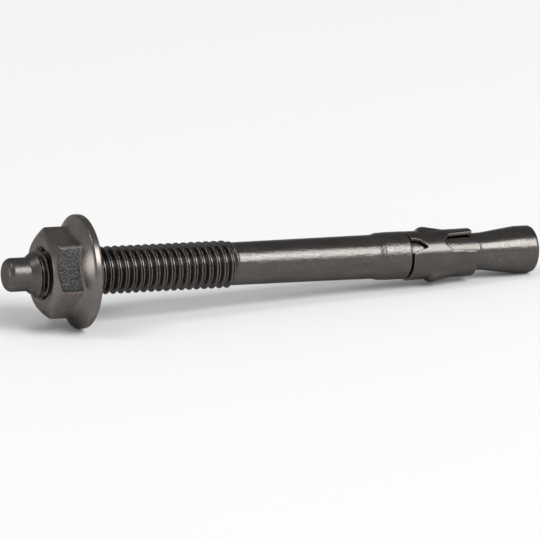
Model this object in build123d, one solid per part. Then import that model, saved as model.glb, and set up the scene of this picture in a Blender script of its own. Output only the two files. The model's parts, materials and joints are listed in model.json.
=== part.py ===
from build123d import *
import math
import os

# Wedge anchor M6 x 70: a stud with a thread, a plain shank and an expansion cone,
# a sheet-metal expansion clip rolled round the stud's neck, and a hexagon flange nut.
#
# Each piece is built about the stud's axis. Local Z runs from the nut to the cone,
# with Z = 0 on the nut's bearing face. Turns are angles about local Z, measured from
# local X, which points up once the anchor lies down, towards local Y, its front.
# lying_down() lays the anchor on Z = 0, on its flange rim and the end of its cone.
# Lengths are in millimetres and angles in degrees.

# Threaded end of the stud
THREAD_DIAMETER = 5.88        # over the crests of an M6 thread, tolerance 6g
THREAD_PITCH = 1.0
THREAD_ABOVE_FACE = 6.2       # from the nut's bearing face towards the hammer point
THREAD_BELOW_FACE = 19.0      # from the nut's bearing face towards the cone
POINT_DIAMETER = 4.1          # plain point that takes the hammer blows
POINT_LENGTH = 2.75
POINT_EDGE_RADIUS = 0.85
POINT_FLARE_LENGTH = 1.15

# Shank and collar
SHANK_DIAMETER = 5.29         # beside the thread: the blank that the thread is rolled on
SHANK_END_DIAMETER = 5.48     # beside the collar
SHANK_LENGTH = 19.45
COLLAR_DIAMETER = 5.97        # fills the 6 mm hole and pushes the clip in
COLLAR_LENGTH = 4.38
COLLAR_STEP_HEIGHT = 0.1      # the short step at the start of the collar's taper
COLLAR_STEP_LENGTH = 0.5
COLLAR_TAPER_LENGTH = 1.55
COLLAR_EDGE_CHAMFER = 0.15

# Neck, expansion cone and tip
NECK_DIAMETER = 4.7
NECK_LENGTH = 10.67
NECK_BLEND_RADIUS = 8.0
CONE_HALF_ANGLE = 7.3
TIP_DIAMETER = 5.95
TIP_LENGTH = 2.22
TIP_EDGE_RADIUS = 0.4

# Expansion clip
CLIP_LENGTH = 8.82
CLIP_COLLAR_DIAMETER = 6.14   # outside, at the collar end
CLIP_CONE_DIAMETER = 5.92     # outside, at the cone end
CLIP_WALL = 0.45
CLIP_END_PLAY = 0.27          # from the collar's end face to the clip
CLIP_DROP = 0.12              # the loose clip's collar end hangs below the stud's axis
CLIP_TILT = 0.65              # its cone end stands higher than its collar end
CLIP_FINGER_RADIUS = 0.35     # at the corners of the fingers
CLIP_CUT_RADIUS = 0.2         # at the closed corners of the slots and notches
CLIP_SEAM_WIDTH = 0.2         # where the two ends of the rolled strip meet
SLOT_TURN = 44.5              # to the middle of the front slot
SLOT_HALF_ANGLE = 22.5
SLOT_MOUTH_HALF_ANGLE = 28.0
SLOT_DEPTH = 4.27             # from the cone end of the clip
SLOT_SHOULDER_DEPTH = 3.42    # where the slot starts to narrow to its closed end
SLOT_CLOSED_HALF_ANGLE = 5.0
NOTCH_OFFSET_ANGLE = 11.1     # the notch's deepest point, past the slot's turn
NOTCH_DEPTH = 2.12            # from the collar end of the clip
NOTCH_UPPER_ANGLE = 24.0      # from the deepest point back to the mouth's upper corner
NOTCH_UPPER_DEPTH = 0.6
NOTCH_BEND_ANGLE = 18.5
NOTCH_BEND_DEPTH = 1.25
NOTCH_LOWER_ANGLE = 12.0      # from the deepest point on to the mouth's lower corner
NOTCH_LOWER_DEPTH = 0.3
BUMP_OFFSET_ANGLE = 104.6     # a bump's turn past the slot's
BUMP_HEIGHT = 0.55            # to the ridge before it is rounded, to grip the hole
BUMP_SIDE_RADIUS = 1.9
UPPER_BUMP_DEPTH = 2.34       # from the collar end of the clip to the bump's ridge
LOWER_BUMP_DEPTH = 3.08
BUMP_RISE_LENGTH = 0.6
BUMP_FALL_LENGTH = 3.0
BUMP_RIDGE_RADIUS = 0.9

# Hexagon flange nut
NUT_HEIGHT = 5.5
NUT_ACROSS_FLATS = 9.8
NUT_ACROSS_CORNERS = 11.14
NUT_TOP_DIAMETER = 8.9
NUT_CHAMFER_HEIGHT = 0.85
NUT_TURN = 71.0               # to the middle of the front flat
FLANGE_DIAMETER = 13.88
FLANGE_RIM_HEIGHT = 1.0
FLANGE_RIM_RADIUS = 0.35
FLANGE_SLOPE_ANGLE = 28.0
NUT_THREAD_CLEARANCE = 0.06   # radial, from the thread's crests to the nut's bore
NUT_SINK_DIAMETER = 6.8
NUT_SINK_ANGLE = 45.0

# Where a turned surface closes on itself: just past the bottom of the anchor as it rests
SEAM_TURN = 180.55

# Stations along the axis, from the lengths above
thread_top = -THREAD_ABOVE_FACE
point_foot = thread_top - POINT_FLARE_LENGTH
point_end = point_foot - POINT_LENGTH
thread_end = THREAD_BELOW_FACE
collar_start = thread_end + SHANK_LENGTH
collar_end = collar_start + COLLAR_LENGTH
cone_start = collar_end + NECK_LENGTH
cone_rise = (TIP_DIAMETER - NECK_DIAMETER) / 2
cone_length = cone_rise / math.tan(math.radians(CONE_HALF_ANGLE))
tip_start = cone_start + cone_length
tip_end = tip_start + TIP_LENGTH
clip_start = collar_end + CLIP_END_PLAY
clip_end = clip_start + CLIP_LENGTH

# Radii that pieces share
clip_collar_radius = CLIP_COLLAR_DIAMETER / 2
clip_cone_radius = CLIP_CONE_DIAMETER / 2
clip_radius = (clip_collar_radius + clip_cone_radius) / 2
nut_bore_radius = THREAD_DIAMETER / 2 + NUT_THREAD_CLEARANCE
flange_radius = FLANGE_DIAMETER / 2
tip_radius = TIP_DIAMETER / 2


def turned(points, rounded=()):
    """A solid turned about local Z from its (radius, station) corners.

    rounded holds (radius, station, edge radius) for each corner that is rounded.
    """
    first = (0, points[0][1])
    last = (0, points[-1][1])
    section = make_face(Polyline(first, *points, last, close=True))
    for radius, station, edge_radius in rounded:
        corner = section.vertices().sort_by_distance((radius, station, 0))[0]
        section = fillet(corner, edge_radius)
    return Rot(0, 0, SEAM_TURN) * revolve(Rot(90, 0, 0) * section, Axis.Z)


def anchor_bolt():
    """The stud, formed in one piece: point, thread, shank, collar, neck, cone and tip."""
    point = POINT_DIAMETER / 2
    thread = THREAD_DIAMETER / 2
    shank = SHANK_DIAMETER / 2
    shank_end = SHANK_END_DIAMETER / 2
    collar = COLLAR_DIAMETER / 2
    neck = NECK_DIAMETER / 2
    step_end = collar_start + COLLAR_STEP_LENGTH
    corners = [
        (point, point_end),
        (point, point_foot),
        (thread, thread_top),
        (thread, thread_end - THREAD_PITCH / 2),
        (shank, thread_end),
        (shank_end, collar_start),
        (shank_end + COLLAR_STEP_HEIGHT, step_end),
        (collar, step_end + COLLAR_TAPER_LENGTH),
        (collar, collar_end - COLLAR_EDGE_CHAMFER),
        (collar - COLLAR_EDGE_CHAMFER, collar_end),
        (neck, collar_end),
        (neck, cone_start),
        (tip_radius, tip_start),
        (tip_radius, tip_end),
    ]
    rounded = [
        (point, point_end, POINT_EDGE_RADIUS),
        (neck, cone_start, NECK_BLEND_RADIUS),
        (tip_radius, tip_end, TIP_EDGE_RADIUS),
    ]
    return turned(corners, rounded)


def wall_cut(outline, turn):
    """A cutter through the clip's wall at a turn, with sides that point at the axis.

    outline holds (station, angle from the turn) corners.
    """
    front = Plane(origin=(0, 0, 0), x_dir=(0, 1, 0), z_dir=(1, 0, 0))
    sections = []
    for radius in (clip_radius - 2 * CLIP_WALL, clip_radius + CLIP_WALL):
        corners = [(radius * math.tan(math.radians(angle)), station) for station, angle in outline]
        sections.append(Pos(0, 0, radius) * make_face(Polyline(*corners, close=True)))
    return Rot(0, 0, turn) * front.location * loft(sections, ruled=True)


def slot(turn):
    """Cutter for the slot between two fingers, open at the cone end."""
    closed = clip_end - SLOT_DEPTH
    shoulder = clip_end - SLOT_SHOULDER_DEPTH
    mouth = clip_end + CLIP_WALL
    outline = [
        (mouth, -SLOT_MOUTH_HALF_ANGLE),
        (shoulder, -SLOT_HALF_ANGLE),
        (closed, -SLOT_CLOSED_HALF_ANGLE),
        (closed, SLOT_CLOSED_HALF_ANGLE),
        (shoulder, SLOT_HALF_ANGLE),
        (mouth, SLOT_MOUTH_HALF_ANGLE),
    ]
    return wall_cut(outline, turn)


def notch(turn):
    """Cutter for the skewed notch behind a slot, open at the collar end."""
    mouth = clip_start - CLIP_WALL
    outline = [
        (mouth, -NOTCH_UPPER_ANGLE),
        (clip_start + NOTCH_UPPER_DEPTH, -NOTCH_UPPER_ANGLE),
        (clip_start + NOTCH_BEND_DEPTH, -NOTCH_BEND_ANGLE),
        (clip_start + NOTCH_DEPTH, 0),
        (clip_start + NOTCH_LOWER_DEPTH, NOTCH_LOWER_ANGLE),
        (mouth, NOTCH_LOWER_ANGLE),
    ]
    return wall_cut(outline, turn + NOTCH_OFFSET_ANGLE)


def seam(turn):
    """Cutter for the seam that the rolled strip leaves, from end to end."""
    half_angle = math.degrees(CLIP_SEAM_WIDTH / 2 / clip_radius)
    low = clip_start - CLIP_WALL
    high = clip_end + CLIP_WALL
    outline = [(low, -half_angle), (high, -half_angle), (high, half_angle), (low, half_angle)]
    return wall_cut(outline, turn)


def bump(turn, ridge_depth, sunk=0.0):
    """A grip bump pressed out of the wall; sunk moves it towards the axis."""
    foot = clip_radius - sunk
    top = foot + BUMP_HEIGHT
    ridge = clip_start + ridge_depth
    corners = [
        (foot, ridge - BUMP_RISE_LENGTH),
        (top, ridge),
        (foot, ridge + BUMP_FALL_LENGTH),
    ]
    along = turned(corners, [(top, ridge, BUMP_RIDGE_RADIUS)])
    across = Pos(top - BUMP_SIDE_RADIUS, 0, ridge) * Cylinder(BUMP_SIDE_RADIUS, CLIP_LENGTH)
    return Rot(0, 0, turn) * (along & across)


def corners_across_wall(clip, low, high):
    """The edges that run from the clip's bore to its outside, between two stations."""
    found = []
    for edge in clip.edges():
        start = edge.position_at(0)
        end = edge.position_at(1)
        span = abs(math.hypot(start.X, start.Y) - math.hypot(end.X, end.Y))
        if abs(span - CLIP_WALL) < CLIP_WALL / 100 and low < edge.center().Z < high:
            found.append(edge)
    return found


def expansion_clip():
    """The clip: a punched strip with two bumps, rolled round the neck."""
    margin = CLIP_WALL / 10
    lower = (SLOT_TURN + BUMP_OFFSET_ANGLE, LOWER_BUMP_DEPTH)
    upper = (SLOT_TURN + BUMP_OFFSET_ANGLE + 180, UPPER_BUMP_DEPTH)
    clip = turned([(clip_collar_radius, clip_start), (clip_cone_radius, clip_end)])
    for turn, depth in (lower, upper):
        clip += bump(turn, depth)
    clip -= turned([
        (clip_collar_radius - CLIP_WALL, clip_start),
        (clip_cone_radius - CLIP_WALL, clip_end),
    ])
    for turn, depth in (lower, upper):
        clip -= bump(turn, depth, sunk=CLIP_WALL)
    for turn in (SLOT_TURN, SLOT_TURN + 180):
        clip -= slot(turn)
        clip -= notch(turn)
    closed = corners_across_wall(clip, clip_start + margin, clip_end - margin)
    clip = fillet(closed, CLIP_CUT_RADIUS)
    fingers = corners_across_wall(clip, clip_end - margin, clip_end + margin)
    clip = fillet(fingers, CLIP_FINGER_RADIUS)
    clip -= seam(SLOT_TURN + 180)
    return Pos(-CLIP_DROP, 0, clip_start) * Rot(0, CLIP_TILT, 0) * Pos(0, 0, -clip_start) * clip


def hexagon():
    """The nut's hexagon down to its bearing face, chamfered at its top corners."""
    corner = NUT_ACROSS_CORNERS / 2
    top = -NUT_HEIGHT
    envelope = turned([
        (NUT_TOP_DIAMETER / 2, top),
        (corner, top + NUT_CHAMFER_HEIGHT),
        (corner, 0),
    ])
    flats = RegularPolygon(NUT_ACROSS_FLATS / 2, 6, major_radius=False)
    prism = Pos(0, 0, top) * extrude(flats, NUT_HEIGHT)
    return (Rot(0, 0, NUT_TURN + 30) * prism) & envelope


def flange():
    """The flange with its sloping upper face and rounded rim."""
    slope = math.tan(math.radians(FLANGE_SLOPE_ANGLE))
    inner = NUT_ACROSS_FLATS / 2
    slope_top = -FLANGE_RIM_HEIGHT - (flange_radius - inner) * slope
    corners = [
        (inner, slope_top),
        (flange_radius, -FLANGE_RIM_HEIGHT),
        (flange_radius, 0),
    ]
    rounded = [
        (flange_radius, -FLANGE_RIM_HEIGHT, FLANGE_RIM_RADIUS),
        (flange_radius, 0, FLANGE_RIM_RADIUS),
    ]
    return turned(corners, rounded)


def nut_sink(station, outwards):
    """The cone that opens the nut's bore at one end; outwards is -1 or 1 along Z."""
    radius = NUT_SINK_DIAMETER / 2
    depth = (radius - nut_bore_radius) / math.tan(math.radians(NUT_SINK_ANGLE))
    cone = Cone(nut_bore_radius, radius, depth, align=(Align.CENTER, Align.CENTER, Align.MAX))
    if outwards < 0:
        cone = Rot(180, 0, 0) * cone
    return Pos(0, 0, station) * cone


def flange_nut():
    """The hexagon nut with its flange, in one piece, bored to clear the thread."""
    bore = Pos(0, 0, -NUT_HEIGHT / 2) * Cylinder(nut_bore_radius, NUT_HEIGHT * 2)
    nut = hexagon() + flange()
    nut -= bore
    nut -= nut_sink(-NUT_HEIGHT, -1)
    nut -= nut_sink(0, 1)
    return nut


def lying_tilt():
    """How far the axis dips towards the cone when flange rim and tip both touch."""
    length = (tip_end - TIP_EDGE_RADIUS) + FLANGE_RIM_RADIUS
    rise = (tip_radius - TIP_EDGE_RADIUS) - (flange_radius - FLANGE_RIM_RADIUS)
    edge = FLANGE_RIM_RADIUS - TIP_EDGE_RADIUS
    tilt = math.asin(edge / math.hypot(length, rise)) - math.atan2(rise, length)
    return math.degrees(tilt)


def lying_down(pieces):
    """The placement that lays the anchor on Z = 0, centred, with its axis along X."""
    dip = Rot(0, 90 + lying_tilt(), 0) * Rot(0, 0, 180)
    box = Compound([dip * piece for piece in pieces]).bounding_box()
    return Pos(-box.center().X, 0, -box.min.Z) * dip


def main():
    pieces = {
        "anchor_bolt": anchor_bolt(),
        "expansion_clip": expansion_clip(),
        "flange_nut": flange_nut(),
    }
    place = lying_down(pieces.values())
    os.makedirs("parts", exist_ok=True)
    for name, piece in pieces.items():
        export_step(place * piece, f"parts/{name}.step")
    print(f"axis dips {lying_tilt():.4f} degrees; bearing face centre at {place.position}")
    print(f"tip land's middle at station {(tip_start + tip_end - TIP_EDGE_RADIUS) / 2:.4f}")


main()
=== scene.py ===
import json
import math

import bmesh
import bpy
import numpy as np
from mathutils import Matrix, Vector
from mathutils.geometry import delaunay_2d_cdt


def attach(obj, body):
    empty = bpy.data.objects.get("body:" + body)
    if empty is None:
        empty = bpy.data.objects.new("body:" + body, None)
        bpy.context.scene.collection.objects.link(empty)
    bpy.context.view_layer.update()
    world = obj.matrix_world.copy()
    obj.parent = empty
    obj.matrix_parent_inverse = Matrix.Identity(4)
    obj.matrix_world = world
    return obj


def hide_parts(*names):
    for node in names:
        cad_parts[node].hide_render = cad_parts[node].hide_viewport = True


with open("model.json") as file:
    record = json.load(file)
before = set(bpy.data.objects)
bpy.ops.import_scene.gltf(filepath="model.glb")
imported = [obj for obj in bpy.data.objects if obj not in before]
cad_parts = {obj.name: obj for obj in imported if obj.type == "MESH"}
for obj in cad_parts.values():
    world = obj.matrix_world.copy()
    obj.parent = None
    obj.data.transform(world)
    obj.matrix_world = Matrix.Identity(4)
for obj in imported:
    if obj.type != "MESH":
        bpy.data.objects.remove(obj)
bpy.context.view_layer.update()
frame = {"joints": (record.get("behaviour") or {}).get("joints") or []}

# The looks of an M6 x 70 wedge anchor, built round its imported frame.
#
# Each piece is laid out about the stud's axis, in millimetres: a station runs along the
# axis from the nut's bearing face towards the cone, a turn is an angle about the axis,
# measured from the top towards the front, and a radius is taken from the axis. The
# camera, the lamps and the floor are in metres.
MM = 0.001

# Thread
PITCH = 1.0
CREST_RADIUS = 2.94
THREAD_DEPTH = 0.56
CREST_HALF_WIDTH = 0.07         # flat of the crest, before it is rounded
FLANK_SLOPE = math.tan(math.radians(60))
THREAD_ROUNDING = 0.05          # of crests and roots
THREAD_PHASE = 0.32             # station of a crest at the top of the stud
THREAD_EDGE_ROUNDING = 0.02     # where the thread meets the plain outline
THREAD_END = 19.0
RUNOUT_LENGTH = 1.2
FADE_BEFORE_END = 0.3           # the thread gets shallower from here
FADE_AFTER_END = 0.7            # to here

# Stud
POINT_END = -10.1
POINT_RADIUS = 2.05
POINT_EDGE = 0.85
FLARE_START = -7.35
FLARE_END = -6.2
FLARE_MARGIN = 0.2              # the fine rows start this far before the flare
FLARE_ROUNDING = 0.06
SHANK_RADIUS = 2.645
SHANK_END_RADIUS = 2.74
COLLAR_START = 38.45
COLLAR_LINE = 39.28             # fine groove where the collar has all but its full width
COLLAR_LINE_DEPTH = 0.03
COLLAR_SHORTFALL = 0.05         # of the radius at that groove
COLLAR_FULL = 40.5
COLLAR_RADIUS = 2.985
COLLAR_END = 42.83
COLLAR_EDGE = 0.15
NECK_RADIUS = 2.35
NECK_LINE = 52.65               # fine groove that the turning tool left before the cone
NECK_LINE_DEPTH = 0.035
CONE_START = 53.5
CONE_BLEND = 8.0
TIP_START = 58.379
TIP_RADIUS = 2.975
TIP_END = 60.599
TIP_EDGE = 0.4
STUD_SEGMENTS = 112

# Nut
NUT_HEIGHT = 5.5
APOTHEM = 4.9
CORNER_RADIUS = 5.57
FRONT_FLAT = math.radians(71.0)
NUT_TOP_RADIUS = 4.45
CHAMFER_HEIGHT = 0.85
NUT_EDGE_ROUNDING = 0.1
NUT_CORNER_ROUNDING = 0.05
SIDE_ANGLE = math.radians(60)
FRONT_FLAT_HALF = math.radians(29)
FLANGE_RADIUS = 6.94
FLANGE_RIM = 1.0
FLANGE_RIM_RADIUS = 0.35
FLANGE_SLOPE = math.tan(math.radians(28))
FLANGE_FILLET = 0.22
RIM_ARC_DROP = 0.22             # from the slope's end to the middle of the rim's upper rounding
RIM_ZONE = 0.5                  # outermost ring of the flange, beyond the fillet's reach
SINK_RADIUS = 3.35
SINK_ROUNDING = 0.04
NUT_THREAD_GAP = 0.04
NUT_MINOR_RADIUS = 2.5
NUT_MAJOR_RADIUS = 3.0

# Clip
CLIP_START = 43.1
CLIP_LENGTH = 8.82
CLIP_COLLAR_RADIUS = 3.07
CLIP_CONE_RADIUS = 2.96
CLIP_WALL = 0.45
CLIP_DROP = 0.12
CLIP_TILT = math.radians(0.65)
CLIP_EDGE = 0.06                # softened edge of the punched strip
CLIP_EDGE_BREAK = 0.3 * CLIP_EDGE
CLIP_STEP = 0.16                # between the points of its mesh
CLIP_SEAM_HALF = 0.1
FINGER_RADIUS = 0.35
CUT_RADIUS = 0.2

# Slots and notches of the clip; their angles are in degrees
SLOT_DEPTH = 4.27               # from the cone end
SLOT_SHOULDER_DEPTH = 3.42      # where the slot starts to narrow
SLOT_CLOSED_HALF = 5.0
SLOT_SHOULDER_HALF = 22.5
SLOT_MOUTH_HALF = 28.0
NOTCH_OFFSET = 11.1             # of the deepest point, from the slot's middle
NOTCH_DEPTH = 2.12              # from the collar end
NOTCH_BEND = 18.5               # back from the deepest point
NOTCH_BEND_DEPTH = 1.25
NOTCH_UPPER = 24.0              # back from the deepest point, as far as the mouth
NOTCH_UPPER_DEPTH = 0.6
NOTCH_LOWER = 12.0              # on from the deepest point
NOTCH_LOWER_DEPTH = 0.3
SEAM_SHIFT = 0.16               # of the notch's edge across the seam

# Turn of the clip, and its grip bumps
SLOT_TURN = math.radians(44.5)
BUMP_OFFSET = math.radians(104.6)
BUMP_HEIGHT = 0.55
BUMP_TOP_HALF = math.radians(19)
BUMP_FOOT_HALF = math.radians(31)
UPPER_BUMP = 2.34
LOWER_BUMP = 3.08
BUMP_RISE = 0.6
BUMP_FALL = 3.0
BUMP_RIDGE_ROUNDING = 0.2
BUMP_FOOT_ROUNDING = 0.03

# Camera, as seen from the anchor
CAMERA_AZIMUTH = math.radians(-23.6578)
CAMERA_ELEVATION = math.radians(15.943)
CAMERA_DISTANCE = 0.54517
CAMERA_LENS = 295.14
SENSOR = 36.0
AIM_RIGHT = -0.000511
AIM_UP = -0.000793
AIM_HEIGHT = 0.005

# Light
HORIZON_LIGHT = 1.0
OVERHEAD_LIGHT = 0.38
OVERHEAD_HEIGHT = 0.6           # of a direction's unit vector, from where on it is overhead
LAMP_DISTANCE = 2.0
SOFTBOX_DIRECTION = (0.33, -0.65, 0.635)
SOFTBOX_SIZE = (1.2, 1.1)
SOFTBOX_POWER = 32.0
SIDE_LIGHT_DIRECTION = (-0.95, 0.2, 0.12)
SIDE_LIGHT_SIZE = (0.5, 0.5)
SIDE_LIGHT_POWER = 4.0
TOP_LIGHT_DIRECTION = (-0.5, 0.0, 0.87)
TOP_LIGHT_SIZE = (0.7, 0.7)
TOP_LIGHT_POWER = 6.0

# Surfaces
STEEL = (0.100, 0.0935, 0.0885)
EDGE_TINT = 0.5                 # of the steel's reflection near its outline
NUT_STEEL = (0.160, 0.145, 0.135)
# Painted shade: the nut's front flat, far darker than its other faces.
SHADED_SCUFFED_STEEL = (0.036, 0.036, 0.036)
STUD_ROUGHNESS = 0.22
POINT_WEAR = 0.12               # how much rougher the hammer point is
POINT_FADE = 0.5                # past the flare, in millimetres as what follows
TURNED_FADE = 3.0               # before the cone
TURNED_GRAIN = 0.4              # share of the shank's grain on the turned parts
MARK_DEPTH = 0.014              # of streaks and turning rings
GRAIN_DEPTH = 0.035
NUT_ROUGHNESS = 0.27
SCUFF_DEPTH = 0.03
NUT_RING_DEPTH = 0.004
CLIP_ROUGHNESS = 0.23
PUNCHED_ROUGHNESS = 0.2         # more than that on the punched edges
STREAK_DEPTH = 0.010
FLOOR = (0.9, 0.9, 0.9)
FLOOR_HALF = 2.0                # metres


def local_axes():
    """The stud's axis and the two directions across it, read from the nut's joint."""
    joint = next(j for j in frame["joints"] if j["name"] == "nut_turn")
    along = Vector(joint["axis"]).normalized()
    front = Vector((0, -1, 0))
    return Vector(joint["pos_m"]), along, front.cross(along), front


ORIGIN, ALONG, UP, FRONT = (np.array(v) for v in local_axes())


def place(radius, turn, station):
    """Points in the row frame, in metres, for arrays of radius, turn and station."""
    radius, turn, station = (np.asarray(v, float)[..., None] for v in (radius, turn, station))
    across = radius * (np.cos(turn) * UP + np.sin(turn) * FRONT)
    return ORIGIN + MM * (across + station * ALONG)


def smooth_min(a, b, width):
    """The lesser of two arrays, rounded where they cross."""
    return 0.5 * (a + b - np.sqrt((a - b) ** 2 + width ** 2))


def smooth_max(a, b, width):
    """The greater of two arrays, rounded where they cross."""
    return -smooth_min(-a, -b, width)


def ramp(value, low, high):
    """0 below low, 1 above high, with an even slope and soft ends between."""
    t = np.clip((value - low) / (high - low), 0, 1)
    return t * t * (3 - 2 * t)


def thread_radius(station, turn):
    """A right-handed M6 x 1 thread's surface."""
    phase = (station - THREAD_PHASE) / PITCH - turn / (2 * math.pi)
    from_crest = PITCH * np.abs(phase - np.round(phase))
    depth = (from_crest - CREST_HALF_WIDTH) * FLANK_SLOPE
    depth = smooth_max(depth, 0.0, THREAD_ROUNDING)
    depth = smooth_min(depth, THREAD_DEPTH, THREAD_ROUNDING)
    return CREST_RADIUS - depth


def arc(centre, radius, start, end, count):
    """(radius, station) points on an arc; angles in degrees from outwards to along."""
    angles = np.radians(np.linspace(start, end, count))
    return [(centre[0] + radius * math.cos(a), centre[1] + radius * math.sin(a)) for a in angles]


def new_piece(name, vertices, faces, body, node):
    """A smooth mesh that stands for a CAD node and rides on its body."""
    mesh = bpy.data.meshes.new(name)
    mesh.from_pydata([tuple(v) for v in vertices], [], faces)
    mesh.validate()
    for polygon in mesh.polygons:
        polygon.use_smooth = True
    piece = bpy.data.objects.new(name, mesh)
    bpy.context.scene.collection.objects.link(piece)
    return finish_piece(piece, body, node)


def finish_piece(piece, body, node):
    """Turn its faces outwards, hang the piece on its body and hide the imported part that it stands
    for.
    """
    edit = bmesh.new()
    edit.from_mesh(piece.data)
    bmesh.ops.recalc_face_normals(edit, faces=edit.faces)
    edit.to_mesh(piece.data)
    edit.free()
    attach(piece, body)
    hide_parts(node)
    return piece


def grid_faces(rows, columns, closed_rows=False):
    """Quads of a grid whose columns run round the axis."""
    faces = []
    for r in range(rows if closed_rows else rows - 1):
        below, above = r * columns, (r + 1) % rows * columns
        for c in range(columns):
            d = (c + 1) % columns
            faces.append((below + c, below + d, above + d, above + c))
    return faces


def capped_faces(rows, columns):
    """A grid closed at both ends by a fan round one more vertex each."""
    faces = grid_faces(rows, columns)
    first, last = rows * columns, rows * columns + 1
    top = (rows - 1) * columns
    for c in range(columns):
        d = (c + 1) % columns
        faces.append((first, d, c))
        faces.append((last, top + c, top + d))
    return faces


def stud_profile():
    """(radius, station) points of the stud's outline, with the thread still plain."""
    flare = math.atan2(CREST_RADIUS - POINT_RADIUS, FLARE_END - FLARE_START)
    points = [(0.6, POINT_END), (1.0, POINT_END)]
    points += arc((POINT_RADIUS - POINT_EDGE, POINT_END + POINT_EDGE), POINT_EDGE, -90, 0, 9)
    plain = np.linspace(POINT_END + POINT_EDGE + 0.2, FLARE_START - 0.3, 5)
    points += [(POINT_RADIUS, station) for station in plain]
    for station in np.arange(FLARE_START - FLARE_MARGIN, THREAD_END + RUNOUT_LENGTH, PITCH / 20):
        grown = POINT_RADIUS + (station - FLARE_START) * math.tan(flare)
        grown = smooth_max(np.float64(grown), POINT_RADIUS, FLARE_ROUNDING)
        points.append((float(smooth_min(grown, CREST_RADIUS, FLARE_ROUNDING)), station))
    for station in np.linspace(THREAD_END + RUNOUT_LENGTH, COLLAR_START - 0.3, 40):
        share = (station - THREAD_END) / (COLLAR_START - THREAD_END)
        points.append((SHANK_RADIUS + share * (SHANK_END_RADIUS - SHANK_RADIUS), station))
    points += collar_profile()
    points += [(NECK_RADIUS + 0.15, COLLAR_END), (NECK_RADIUS + 0.04, COLLAR_END + 0.03)]
    points += [(NECK_RADIUS, COLLAR_END + 0.15)]
    points += cone_profile()
    points += [(TIP_RADIUS, s) for s in np.linspace(TIP_START + 0.15, TIP_END - TIP_EDGE - 0.1, 5)]
    points += arc((TIP_RADIUS - TIP_EDGE, TIP_END - TIP_EDGE), TIP_EDGE, 0, 90, 7)
    points += [(r, TIP_END) for r in (2.4, 2.0, 1.4, 0.7)]
    return points


def collar_profile():
    """The collar's rise, with the fine groove across it, and the collar up to its end face."""
    low = COLLAR_RADIUS - COLLAR_SHORTFALL
    points = []
    for station in np.linspace(COLLAR_START - 0.15, COLLAR_LINE - 0.15, 9):
        share = float(ramp(station, COLLAR_START - 0.2, COLLAR_LINE))
        points.append((SHANK_END_RADIUS + share * (low - SHANK_END_RADIUS), station))
    floor_of_groove = low - COLLAR_LINE_DEPTH
    groove = [(low, -0.09), (floor_of_groove, -0.04), (floor_of_groove, 0.02), (low + 0.01, 0.07)]
    points += [(radius, COLLAR_LINE + off) for radius, off in groove]
    for station in np.linspace(COLLAR_LINE + 0.2, COLLAR_FULL, 6):
        share = float(ramp(station, COLLAR_LINE, COLLAR_FULL))
        points.append((low + share * (COLLAR_RADIUS - low), station))
    full = np.linspace(COLLAR_FULL + 0.3, COLLAR_END - COLLAR_EDGE - 0.1, 6)
    points += [(COLLAR_RADIUS, station) for station in full]
    points += arc((COLLAR_RADIUS - COLLAR_EDGE, COLLAR_END - COLLAR_EDGE), COLLAR_EDGE, 0, 90, 5)
    return points


def cone_profile():
    """The neck, its blend into the cone, and the cone up to the tip's land."""
    angle = math.atan2(TIP_RADIUS - NECK_RADIUS, TIP_START - CONE_START)
    reach = CONE_BLEND * math.tan(angle / 2)
    points = [(NECK_RADIUS, s) for s in np.linspace(COLLAR_END + 0.6, NECK_LINE - 0.15, 20)]
    groove = [(0.0, -0.08), (-NECK_LINE_DEPTH, -0.03), (-NECK_LINE_DEPTH, 0.03), (0.0, 0.08)]
    points += [(NECK_RADIUS + off, NECK_LINE + along) for off, along in groove]
    for a in np.linspace(0, angle, 8):
        points.append((NECK_RADIUS + CONE_BLEND * (1 - math.cos(a)),
                       CONE_START - reach + CONE_BLEND * math.sin(a)))
    start = CONE_START + reach * math.cos(angle)
    for station in np.linspace(start + 0.3, TIP_START - 0.1, 12):
        points.append((TIP_RADIUS - (TIP_START - station) * math.tan(angle), station))
    return points


def stud():
    """The stud, with its thread cut into the plain outline."""
    profile = np.array(stud_profile())
    turns = np.arange(STUD_SEGMENTS) * 2 * math.pi / STUD_SEGMENTS
    radius, station = profile[:, :1], profile[:, 1:]
    turn = turns[None, :]
    plain = radius + 0 * turn
    cut = thread_radius(station + 0 * turn, turn + 0 * station)
    fade = ramp(station, THREAD_END - FADE_BEFORE_END, THREAD_END + FADE_AFTER_END)
    cut = cut * (1 - fade) + SHANK_RADIUS * fade
    threaded = smooth_min(plain, cut, THREAD_EDGE_ROUNDING)
    inside = (station > FLARE_START - FLARE_MARGIN) & (station < THREAD_END + RUNOUT_LENGTH)
    radius = np.where(inside, threaded, plain)
    grid = place(radius, turn + 0 * station, station + 0 * turn)
    ends = place([0, 0], [0, 0], [POINT_END, TIP_END])
    vertices = np.vstack([grid.reshape(-1, 3), ends])
    faces = capped_faces(len(profile), STUD_SEGMENTS)
    return new_piece("stud", vertices, faces, "anchor_bolt", "anchor_bolt")


def nut_turns():
    """Turns of the nut's columns, closer together near each corner of the hexagon."""
    near = np.concatenate([[0.0], np.geomspace(0.25, 30, 15)])
    half = np.radians(near)
    side = np.concatenate([half, SIDE_ANGLE - half[::-1][1:]])[:-1]
    corner = FRONT_FLAT + SIDE_ANGLE / 2
    return np.concatenate([corner + side + k * SIDE_ANGLE for k in range(6)])


def hexagon_radius(turn):
    """The hexagon's radius at each turn, with its corners rounded."""
    from_middle = (turn - FRONT_FLAT + SIDE_ANGLE / 2) % SIDE_ANGLE - SIDE_ANGLE / 2
    return smooth_min(APOTHEM / np.cos(from_middle), CORNER_RADIUS, NUT_CORNER_ROUNDING)


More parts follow.
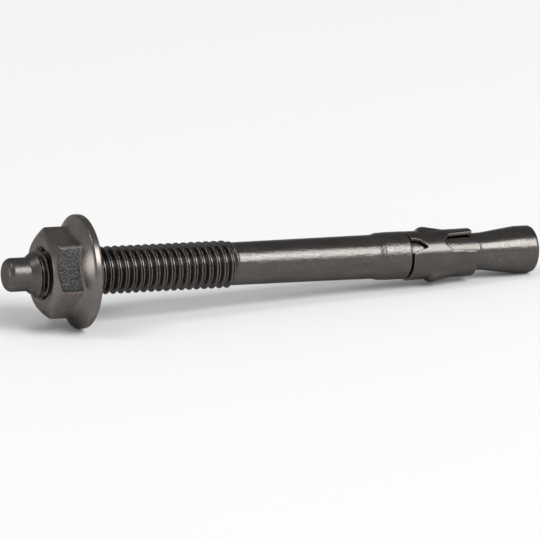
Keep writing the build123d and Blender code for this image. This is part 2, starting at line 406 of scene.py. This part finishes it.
def flange_profile():
    """(station, flange radius) rows from the nut's top edge down and round the rim."""
    top = -NUT_HEIGHT
    slope_top = -FLANGE_RIM - (FLANGE_RADIUS - APOTHEM) * FLANGE_SLOPE
    rows = [(s, 0.0) for s in np.linspace(top, top + CHAMFER_HEIGHT + 0.3, 26)]
    rows += [(s, 0.0) for s in np.linspace(top + CHAMFER_HEIGHT + 0.4, slope_top - 0.4, 12)]
    for station in np.linspace(slope_top - 0.35, -FLANGE_RIM - 0.12, 30):
        rows.append((station, FLANGE_RADIUS + (station + FLANGE_RIM) / FLANGE_SLOPE))
    edge = FLANGE_RIM_RADIUS
    square_to_slope = math.degrees(math.atan(FLANGE_SLOPE)) - 90
    rim = arc((FLANGE_RADIUS - edge, -FLANGE_RIM + RIM_ARC_DROP), edge, square_to_slope, 0, 8)
    rim += arc((FLANGE_RADIUS - edge, -edge), edge, 0, 90, 9)
    rows += [(station, radius) for radius, station in rim]
    return rows


def nut():
    """The hexagon flange nut, skinned from its top face down the outside and back up the bore."""
    turn = nut_turns()[None, :]
    hexagon = hexagon_radius(turn)
    rows = []
    for radius in np.linspace(SINK_RADIUS + 0.12, NUT_TOP_RADIUS - 0.1, 6):
        rows.append((radius + 0 * turn, -NUT_HEIGHT + 0 * turn))
    chamfer_slope = (CORNER_RADIUS - NUT_TOP_RADIUS) / CHAMFER_HEIGHT
    for station, flange in flange_profile():
        chamfer = NUT_TOP_RADIUS + (station + NUT_HEIGHT) * chamfer_slope
        radius = smooth_min(hexagon, chamfer, NUT_EDGE_ROUNDING)
        if flange >= FLANGE_RADIUS - RIM_ZONE:
            radius = flange + 0 * turn
        elif flange > 0:
            radius = smooth_max(radius, flange, FLANGE_FILLET)
        rows.append((radius, station + 0 * turn))
    for radius in np.linspace(FLANGE_RADIUS - FLANGE_RIM_RADIUS - 0.3, SINK_RADIUS + 0.1, 8):
        rows.append((radius + 0 * turn, 0 * turn))
    rows += nut_bore(turn)
    radius = np.vstack([r for r, _ in rows])
    station = np.vstack([s for _, s in rows])
    grid = place(radius, turn + 0 * station, station)
    faces = grid_faces(len(rows), turn.size, closed_rows=True)
    piece = new_piece("nut", grid.reshape(-1, 3), faces, "flange_nut", "flange_nut")
    # Mask of the front flat, for its scuffing grain and for its painted shade.
    from_front = np.abs((turn - FRONT_FLAT + math.pi) % (2 * math.pi) - math.pi)
    on_front = (np.abs(radius - hexagon) < 0.03) & (from_front < FRONT_FLAT_HALF)
    mark_points(piece, "scuffed_and_shaded", on_front)
    return piece


def mark_points(piece, name, values):
    """A number on each vertex that the piece's material reads."""
    marks = piece.data.attributes.new(name, "FLOAT", "POINT")
    marks.data.foreach_set("value", np.asarray(values, np.float32).ravel())


def nut_bore(turn):
    """Rows up through the nut's bore: its sinks at both ends and the thread between."""
    rows = []
    for station in np.arange(-0.02, -NUT_HEIGHT, -PITCH / 16):
        sink = SINK_RADIUS - min(-station, NUT_HEIGHT + station)
        thread = thread_radius(station + 0 * turn, turn) + NUT_THREAD_GAP
        thread = np.clip(thread, NUT_MINOR_RADIUS, NUT_MAJOR_RADIUS)
        rows.append((smooth_max(thread, sink, SINK_ROUNDING), station + 0 * turn))
    return rows


def rounded(corners):
    """A closed outline through (across, along, radius) corners, each rounded by its radius."""
    points = []
    for i, (x, y, radius) in enumerate(corners):
        here = Vector((x, y))
        before = Vector(corners[i - 1][:2]) - here
        after = Vector(corners[(i + 1) % len(corners)][:2]) - here
        if radius == 0:
            points.append(here)
            continue
        reach = radius / math.tan(before.angle(after) / 2)
        start = here + before.normalized() * reach
        end = here + after.normalized() * reach
        for t in np.linspace(0, 1, 7):
            points.append(start * (1 - t) ** 2 + here * 2 * t * (1 - t) + end * t ** 2)
    return points


def divided(outline, step):
    """The outline with its long sides divided."""
    points = []
    for i, here in enumerate(outline):
        after = outline[(i + 1) % len(outline)]
        count = max(1, math.ceil((after - here).length / step))
        points += [here.lerp(after, k / count) for k in range(count)]
    return points


def inwards(outline, distance):
    """A counterclockwise outline, drawn in by a distance."""
    points = []
    for i, here in enumerate(outline):
        before = (here - outline[i - 1]).normalized()
        after = (outline[(i + 1) % len(outline)] - here).normalized()
        normal = Vector((-before.y - after.y, before.x + after.x)).normalized()
        stretch = max(0.5, normal.dot(Vector((-before.y, before.x))))
        points.append(here + normal * (distance / stretch))
    return points


def strip_corners():
    """Corners of the flat strip from seam to seam, and the radius that it is measured at.

    Across is an arc from the front slot's middle; the corners go round counterclockwise.
    """
    middle = (CLIP_COLLAR_RADIUS + CLIP_CONE_RADIUS) / 2
    half = math.pi * middle - CLIP_SEAM_HALF
    closed = CLIP_LENGTH - SLOT_DEPTH

    def at(degrees, along, radius=0):
        return (middle * math.radians(degrees), along, radius)

    def into_notch(deepest):
        return [
            at(deepest - NOTCH_UPPER, 0),
            at(deepest - NOTCH_UPPER, NOTCH_UPPER_DEPTH, CUT_RADIUS),
            at(deepest - NOTCH_BEND, NOTCH_BEND_DEPTH, CUT_RADIUS),
        ]

    def out_of_notch(deepest):
        return [
            at(deepest, NOTCH_DEPTH, CUT_RADIUS),
            at(deepest + NOTCH_LOWER, NOTCH_LOWER_DEPTH, CUT_RADIUS),
            at(deepest + NOTCH_LOWER, 0),
        ]

    def out_of_slot(turn, side):
        return [
            at(turn + side * SLOT_CLOSED_HALF, closed, CUT_RADIUS),
            at(turn + side * SLOT_SHOULDER_HALF, CLIP_LENGTH - SLOT_SHOULDER_DEPTH, CUT_RADIUS),
            at(turn + side * SLOT_MOUTH_HALF, CLIP_LENGTH, FINGER_RADIUS),
        ]

    def into_slot(turn, side):
        return out_of_slot(turn, side)[::-1]

    past_bend = (NOTCH_BEND - NOTCH_OFFSET) / NOTCH_BEND
    seam_notch = NOTCH_BEND_DEPTH + past_bend * (NOTCH_DEPTH - NOTCH_BEND_DEPTH)
    corners = [(-half, seam_notch + SEAM_SHIFT, 0)] + out_of_notch(NOTCH_OFFSET - 180)
    corners += into_notch(NOTCH_OFFSET) + out_of_notch(NOTCH_OFFSET)
    corners += into_notch(NOTCH_OFFSET + 180) + [(half, seam_notch, 0)]
    corners += [(half, closed, 0)] + out_of_slot(180, -1)
    corners += into_slot(0, 1) + out_of_slot(0, -1)
    corners += into_slot(-180, 1) + [(-half, closed, 0)]
    return corners, middle


def bump_rise(turn, along, base, sunk):
    """The wall's radius with its two bumps, which rise steeply and fall gently to the cone."""
    radius = base + 0 * turn
    foot = (CLIP_COLLAR_RADIUS + CLIP_CONE_RADIUS) / 2 - sunk
    for offset, ridge in ((BUMP_OFFSET, LOWER_BUMP), (BUMP_OFFSET - math.pi, UPPER_BUMP)):
        rise = (along - ridge + BUMP_RISE) / BUMP_RISE * BUMP_HEIGHT
        fall = (ridge + BUMP_FALL - along) / BUMP_FALL * BUMP_HEIGHT
        off = np.abs((turn - offset + math.pi) % (2 * math.pi) - math.pi)
        share = 1 - ramp(off, BUMP_TOP_HALF, BUMP_FOOT_HALF)
        bump = foot + share * smooth_min(rise, fall, BUMP_RIDGE_ROUNDING)
        radius = smooth_max(radius, bump, BUMP_FOOT_ROUNDING)
    return radius


def wrapped(points, middle, depth):
    """Points of the flat strip rolled round the neck, at a depth below the strip's outside."""
    flat = np.array([(p[0], p[1]) for p in points])
    along, turn = flat[:, 1], flat[:, 0] / middle
    share = along / CLIP_LENGTH
    outside = CLIP_COLLAR_RADIUS + share * (CLIP_CONE_RADIUS - CLIP_COLLAR_RADIUS)
    radius = bump_rise(turn, along, outside - depth, depth)
    turn = turn + SLOT_TURN
    up, front = radius * np.cos(turn), radius * np.sin(turn)
    tilted = up * math.cos(CLIP_TILT) + along * math.sin(CLIP_TILT) - CLIP_DROP
    station = CLIP_START + along * math.cos(CLIP_TILT) - up * math.sin(CLIP_TILT)
    return ORIGIN + MM * (tilted[:, None] * UP + front[:, None] * FRONT + station[:, None] * ALONG)


def inside_outline(points, outline):
    """Which points lie inside a closed outline."""
    found = np.zeros(len(points), bool)
    x, y = points[:, 0], points[:, 1]
    for i in range(len(outline)):
        a, b = outline[i - 1], outline[i]
        crosses = (a[1] > y) != (b[1] > y)
        rise = b[1] - a[1] if b[1] != a[1] else 1.0
        found ^= crosses & (x < a[0] + (y - a[1]) * (b[0] - a[0]) / rise)
    return found


def strip_mesh(edge):
    """Points and triangles of the flat strip inside its edge, and the edge point that each was."""
    low, high = np.min(edge, axis=0), np.max(edge, axis=0)
    across, along = (np.arange(low[k] + CLIP_STEP / 2, high[k], CLIP_STEP) for k in (0, 1))
    grid = np.array([(a, b) for b in along for a in across])
    clear = inwards(edge, CLIP_STEP / 2)
    grid = grid[inside_outline(grid, [tuple(p) for p in clear])]
    points = list(edge) + [Vector(p) for p in grid]
    loop = list(range(len(edge)))
    done = delaunay_2d_cdt(points, [], [loop], 1, 1e-6)
    return done[0], done[2], [ids[0] if ids else -1 for ids in done[3]]


def expansion_clip():
    """The clip: a strip cut by a punch, with two bumps, rolled round the neck."""
    corners, middle = strip_corners()
    outline = divided(rounded(corners), CLIP_STEP)
    half_way = inwards(outline, CLIP_EDGE_BREAK)
    edge = inwards(outline, CLIP_EDGE)
    points, triangles, came_from = strip_mesh(edge)
    place_of = {old: new for new, old in enumerate(came_from)}
    loop = [place_of[k] for k in range(len(edge))]
    count, rim = len(points), len(outline)
    rings = [(half_way, CLIP_EDGE_BREAK), (outline, CLIP_EDGE)]
    rings += [(outline, CLIP_WALL - CLIP_EDGE), (half_way, CLIP_WALL - CLIP_EDGE_BREAK)]
    vertices = [wrapped(points, middle, 0.0)] + [wrapped(p, middle, d) for p, d in rings]
    vertices.append(wrapped(points, middle, CLIP_WALL))
    inner = count + rim * len(rings)
    loops = [loop] + [[count + rim * k + i for i in range(rim)] for k in range(len(rings))]
    loops.append([inner + i for i in loop])
    faces = [tuple(t) for t in triangles]
    faces += [tuple(inner + i for i in reversed(t)) for t in triangles]
    for first, second in zip(loops, loops[1:]):
        for i in range(rim):
            j = (i + 1) % rim
            faces.append((first[j], first[i], second[i], second[j]))
    points = np.vstack(vertices)
    piece = new_piece("clip", points, faces, "expansion_clip", "expansion_clip")
    # The strip's edge walls: rougher steel, and a painted highlight that makes them lighter.
    on_edge = np.zeros(len(piece.data.vertices))
    on_edge[count:inner] = 1
    mark_points(piece, "punched_and_highlit", on_edge)
    return piece


def add_camera():
    """The camera, in front of the anchor, a little above it and towards the nut."""
    data = bpy.data.cameras.new("camera")
    data.sensor_width = SENSOR
    data.lens = CAMERA_LENS
    data.clip_start = 0.01
    camera = bpy.data.objects.new("camera", data)
    bpy.context.scene.collection.objects.link(camera)
    a, e = CAMERA_AZIMUTH, CAMERA_ELEVATION
    back = Vector((math.sin(a) * math.cos(e), -math.cos(a) * math.cos(e), math.sin(e)))
    right = Vector((math.cos(a), math.sin(a), 0))
    up = back.cross(right)
    aim = Vector((0, 0, AIM_HEIGHT)) + right * AIM_RIGHT + up * AIM_UP
    turn = Matrix((right, up, back)).transposed().to_4x4()
    camera.matrix_world = Matrix.Translation(aim + back * CAMERA_DISTANCE) @ turn
    bpy.context.scene.camera = camera


def add_lamp(name, direction, size, power):
    """A rectangular lamp in a direction from the anchor, with its width along the anchor."""
    data = bpy.data.lights.new(name, "AREA")
    data.shape = "RECTANGLE"
    data.size, data.size_y = size
    data.energy = power
    lamp = bpy.data.objects.new(name, data)
    bpy.context.scene.collection.objects.link(lamp)
    back = Vector(direction).normalized()
    right = Vector((1, 0, 0)) - back * back.x
    right.normalize()
    up = back.cross(right)
    turn = Matrix((right, up, back)).transposed().to_4x4()
    lamp.matrix_world = Matrix.Translation(back * LAMP_DISTANCE) @ turn


def add_world():
    """A pale surround that gets darker overhead."""
    world = bpy.data.worlds.new("studio")
    bpy.context.scene.world = world
    world.use_nodes = True
    nodes, links = world.node_tree.nodes, world.node_tree.links
    where = nodes.new("ShaderNodeTexCoord")
    split = nodes.new("ShaderNodeSeparateXYZ")
    height = nodes.new("ShaderNodeMapRange")
    height.inputs["From Min"].default_value = 0.0
    height.inputs["From Max"].default_value = OVERHEAD_HEIGHT
    height.inputs["To Min"].default_value = HORIZON_LIGHT
    height.inputs["To Max"].default_value = OVERHEAD_LIGHT
    links.new(where.outputs["Generated"], split.inputs[0])
    links.new(split.outputs["Z"], height.inputs["Value"])
    links.new(height.outputs[0], nodes["Background"].inputs["Strength"])
    nodes["Background"].inputs["Color"].default_value = (1.0, 1.0, 1.0, 1.0)


def add(tree, kind, inputs=(), **settings):
    """A node with its settings; its inputs are sockets to link or plain values."""
    node = tree.nodes.new(kind)
    for name, value in settings.items():
        setattr(node, name, value)
    for key, value in dict(inputs).items():
        if isinstance(value, bpy.types.NodeSocket):
            tree.links.new(value, node.inputs[key])
        else:
            node.inputs[key].default_value = value
    return node


def anchor_coordinates(tree):
    """Millimetres along the stud's axis from the bearing face, and across it."""
    where = add(tree, "ShaderNodeTexCoord")
    dip = math.atan2(-ALONG[2], ALONG[0])
    inputs = {"Vector": where.outputs["Object"], "Location": tuple(ORIGIN)}
    inputs.update({"Rotation": (0, dip, 0), "Scale": (MM, MM, MM)})
    return add(tree, "ShaderNodeMapping", inputs, vector_type="TEXTURE").outputs[0]


def noise(tree, where, along, across, detail=3.0):
    """Noise with so many features in a millimetre along the axis and across it."""
    scaled = add(tree, "ShaderNodeMapping", {"Vector": where, "Scale": (along, across, across)})
    inputs = {"Vector": scaled.outputs[0], "Scale": 1.0, "Detail": detail, "Roughness": 0.6}
    return add(tree, "ShaderNodeTexNoise", inputs).outputs["Fac"]


def spread(tree, value, low, high, start=0.3, end=0.7):
    """A number from low to high as the value goes from start to end."""
    inputs = {"Value": value, "From Min": start, "From Max": end, "To Min": low, "To Max": high}
    return add(tree, "ShaderNodeMapRange", inputs).outputs[0]


def maths(tree, operation, a, b):
    """Two numbers put together by a named operation."""
    return add(tree, "ShaderNodeMath", {0: a, 1: b}, operation=operation).outputs[0]


def blend(tree, share, first, second):
    """A colour that goes from the first to the second with the share."""
    node = add(tree, "ShaderNodeMix", {"Factor": share}, data_type="RGBA")
    for index, colour in ((6, first), (7, second)):
        if isinstance(colour, bpy.types.NodeSocket):
            tree.links.new(colour, node.inputs[index])
        else:
            node.inputs[index].default_value = (*colour, 1.0)
    return node.outputs[2]


def bumped(tree, height, depth, below=None):
    """A surface that rises and falls by a depth in millimetres with a height from 0 to 1."""
    inputs = {"Height": height, "Distance": depth * MM, "Strength": 1.0}
    if below is not None:
        inputs["Normal"] = below
    return add(tree, "ShaderNodeBump", inputs).outputs[0]


def new_material(name):
    """A material, its node tree and its shader."""
    material = bpy.data.materials.new(name)
    material.use_nodes = True
    return material, material.node_tree, material.node_tree.nodes["Principled BSDF"]


def tinted(colour, share):
    """The colour made darker or lighter."""
    return tuple(c * share for c in colour)


def metal(shader):
    """Bare steel, whose reflection stays dark towards its outline."""
    shader.inputs["Metallic"].default_value = 1.0
    shader.inputs["Specular Tint"].default_value = (EDGE_TINT, EDGE_TINT, EDGE_TINT, 1.0)


def turned_shares(tree, where):
    """Two numbers: 1 on the turned point and cone and 0 between them, and 1 on the point alone."""
    station = add(tree, "ShaderNodeSeparateXYZ", {"Vector": where}).outputs["X"]
    cone = spread(tree, station, 0, 1, CONE_START - TURNED_FADE, CONE_START)
    point = spread(tree, station, 1, 0, FLARE_END, FLARE_END + POINT_FADE)
    return maths(tree, "MAXIMUM", cone, point), point


def stud_steel():
    """Drawn and rolled steel: streaks along the shank, turning rings on the cone and point."""
    material, tree, shader = new_material("stud_steel")
    where = anchor_coordinates(tree)
    streaks = noise(tree, where, along=0.6, across=3.5, detail=4.0)
    specks = noise(tree, where, along=3.0, across=3.4, detail=3.0)
    cloud = noise(tree, where, along=0.22, across=0.6, detail=2.0)
    rings = noise(tree, where, along=5.0, across=0.15, detail=3.0)
    turned, point = turned_shares(tree, where)
    marks = add(tree, "ShaderNodeMix", {"Factor": turned, 2: streaks, 3: rings}).outputs[0]
    patches = spread(tree, cloud, 0.4, 1)
    mottle = maths(tree, "MULTIPLY", patches, spread(tree, specks, 0.3, 1, 0.35, 0.65))
    colour = blend(tree, mottle, tinted(STEEL, 0.8), tinted(STEEL, 1.3))
    tree.links.new(colour, shader.inputs["Base Color"])
    even = spread(tree, cloud, STUD_ROUGHNESS - 0.02, STUD_ROUGHNESS + 0.03)
    rough = maths(tree, "ADD", spread(tree, marks, -0.03, 0.04), even)
    rough = maths(tree, "ADD", rough, maths(tree, "MULTIPLY", point, POINT_WEAR))
    tree.links.new(rough, shader.inputs["Roughness"])
    grain = maths(tree, "MULTIPLY", specks, spread(tree, turned, 1.0, TURNED_GRAIN, 0, 1))
    normal = bumped(tree, marks, MARK_DEPTH)
    normal = bumped(tree, grain, GRAIN_DEPTH, normal)
    tree.links.new(normal, shader.inputs["Normal"])
    metal(shader)
    return material


def nut_steel():
    """Cold-formed nut: pale, smooth faces, and the front flat, grainy from scuffs and painted far
    darker as shade.
    """
    material, tree, shader = new_material("nut_steel")
    where = anchor_coordinates(tree)
    scuffed_and_shaded = add(tree, "ShaderNodeAttribute", attribute_name="scuffed_and_shaded").outputs["Fac"]
    grain = noise(tree, where, along=3.5, across=3.5, detail=4.0)
    cloud = noise(tree, where, along=0.5, across=0.5, detail=3.0)
    rings = noise(tree, where, along=6.0, across=0.3, detail=2.0)
    colour = blend(tree, spread(tree, cloud, 0, 1), tinted(NUT_STEEL, 0.88), tinted(NUT_STEEL, 1.1))
    # Painted shade: the front flat takes a far darker steel, grained by noise.
    shades = tinted(SHADED_SCUFFED_STEEL, 0.5), tinted(SHADED_SCUFFED_STEEL, 1.6)
    shaded_grain = blend(tree, spread(tree, grain, 0, 1), *shades)
    colour = blend(tree, scuffed_and_shaded, colour, shaded_grain)
    tree.links.new(colour, shader.inputs["Base Color"])
    rough = spread(tree, cloud, NUT_ROUGHNESS - 0.03, NUT_ROUGHNESS + 0.04)
    tree.links.new(rough, shader.inputs["Roughness"])
    normal = bumped(tree, maths(tree, "MULTIPLY", grain, scuffed_and_shaded), SCUFF_DEPTH)
    normal = bumped(tree, rings, NUT_RING_DEPTH, normal)
    tree.links.new(normal, shader.inputs["Normal"])
    metal(shader)
    return material


def clip_steel():
    """Rolled strip: faint streaks round the clip, and rougher edges where the punch cut the strip,
    their steel painted lighter as a highlight.
    """
    material, tree, shader = new_material("clip_steel")
    where = anchor_coordinates(tree)
    streaks = noise(tree, where, along=2.2, across=1.2, detail=4.0)
    cloud = noise(tree, where, along=0.4, across=0.5, detail=3.0)
    punched_and_highlit = add(tree, "ShaderNodeAttribute", attribute_name="punched_and_highlit").outputs["Fac"]
    colour = blend(tree, spread(tree, cloud, 0, 1), tinted(STEEL, 0.85), tinted(STEEL, 1.08))
    # Painted highlight: the cut edges take steel 2.2 times as bright, lightening them where they
    # lie in shade.
    colour = blend(tree, punched_and_highlit, colour, tinted(STEEL, 2.2))
    tree.links.new(colour, shader.inputs["Base Color"])
    even = spread(tree, cloud, CLIP_ROUGHNESS - 0.03, CLIP_ROUGHNESS + 0.05)
    rough = maths(tree, "ADD", even, maths(tree, "MULTIPLY", punched_and_highlit, PUNCHED_ROUGHNESS))
    tree.links.new(rough, shader.inputs["Roughness"])
    tree.links.new(bumped(tree, streaks, STREAK_DEPTH), shader.inputs["Normal"])
    metal(shader)
    return material


def floor_white():
    """A smooth white table top with the faintest unevenness."""
    material, tree, shader = new_material("floor_white")
    where = add(tree, "ShaderNodeTexCoord").outputs["Object"]
    inputs = {"Vector": where, "Scale": 3.0, "Detail": 2.0}
    cloud = add(tree, "ShaderNodeTexNoise", inputs).outputs["Fac"]
    tree.links.new(blend(tree, cloud, FLOOR, tinted(FLOOR, 0.99)), shader.inputs["Base Color"])
    shader.inputs["Roughness"].default_value = 0.9
    shader.inputs["Specular IOR Level"].default_value = 0.0
    return material


bpy.context.scene.view_settings.view_transform = "Standard"
add_camera()
add_world()
add_lamp("softbox", SOFTBOX_DIRECTION, SOFTBOX_SIZE, SOFTBOX_POWER)
add_lamp("side_light", SIDE_LIGHT_DIRECTION, SIDE_LIGHT_SIZE, SIDE_LIGHT_POWER)
add_lamp("top_light", TOP_LIGHT_DIRECTION, TOP_LIGHT_SIZE, TOP_LIGHT_POWER)
nut().data.materials.append(nut_steel())
stud().data.materials.append(stud_steel())
expansion_clip().data.materials.append(clip_steel())

floor_mesh = bpy.data.meshes.new("floor")
sides = ((-1, -1), (1, -1), (1, 1), (-1, 1))
floor_corners = [(FLOOR_HALF * x, FLOOR_HALF * y, 0) for x, y in sides]
floor_mesh.from_pydata(floor_corners, [], [(0, 1, 2, 3)])
floor = bpy.data.objects.new("floor", floor_mesh)
bpy.context.scene.collection.objects.link(floor)
floor.data.materials.append(floor_white())
